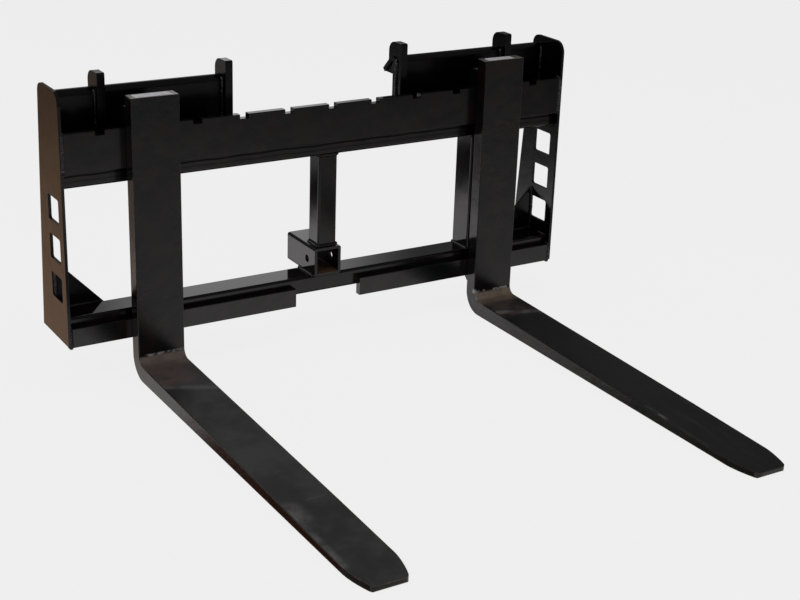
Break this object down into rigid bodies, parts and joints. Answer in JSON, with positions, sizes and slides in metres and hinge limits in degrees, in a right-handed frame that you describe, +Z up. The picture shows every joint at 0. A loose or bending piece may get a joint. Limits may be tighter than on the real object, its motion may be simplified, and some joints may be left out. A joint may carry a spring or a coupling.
{
  "type": "pallet fork attachment",
  "caption": "Loader pallet fork frame with sliding forks on a notched bar, quick-coupler lips, side plates with windows and a central hitch receiver.",
  "frame": {"origin": "on the floor, in the middle of the box around the whole attachment", "axes": "+Z up, the blades point to -Y, +Y towards the loader, +X to the right when facing the forks' fronts"},
  "size_m": [1.18, 1.095, 0.614],
  "materials": {
    "frame_paint": "gloss",
    "fork_paint": "satin",
    "latch_steel": "zinc plated"
  },
  "bodies": {
    "frame": {"side_plate_left": "frame_paint", "side_plate_right": "frame_paint", "upper_fork_bar": "frame_paint", "lower_fork_bar_left": "frame_paint", "lower_fork_bar_right": "frame_paint", "upper_tube": "frame_paint", "lower_tube": "frame_paint", "upright_left": "frame_paint", "upright_right": "frame_paint", "hitch_receiver": "frame_paint", "centre_post": "frame_paint", "hook_plate_left": "frame_paint", "hook_plate_right": "frame_paint", "inner_gusset_left": "frame_paint", "inner_gusset_right": "frame_paint", "mid_gusset_left": "frame_paint", "mid_gusset_right": "frame_paint", "lip_end_block_left": "frame_paint", "lip_end_block_right": "frame_paint", "corner_gusset_left": "frame_paint", "corner_gusset_right": "frame_paint", "catch_plate_left": "frame_paint", "catch_plate_right": "frame_paint"},
    "fork_left": {"fork_left": "fork_paint", "upper_hook_left": "fork_paint", "lower_hook_left": "fork_paint"},
    "latch_left": {"latch_pin_left": "latch_steel"},
    "fork_right": {"fork_right": "fork_paint", "upper_hook_right": "fork_paint", "lower_hook_right": "fork_paint"},
    "latch_right": {"latch_pin_right": "latch_steel"}
  },
  "joints": [
    {"name": "fork_left_slide", "type": "slide", "parent": "frame", "child": "fork_left", "axis": [1, 0, 0], "range_m": [-0.1016, 0.3048]},
    {"name": "fork_right_slide", "type": "slide", "parent": "frame", "child": "fork_right", "axis": [1, 0, 0], "range_m": [-0.3048, 0.1016]},
    {"name": "latch_left_drop", "type": "slide", "parent": "fork_left", "child": "latch_left", "axis": [0, 0, -1], "range_m": [0, 0.0093]},
    {"name": "latch_right_drop", "type": "slide", "parent": "fork_right", "child": "latch_right", "axis": [0, 0, -1], "range_m": [0, 0.0093]}
  ]
}
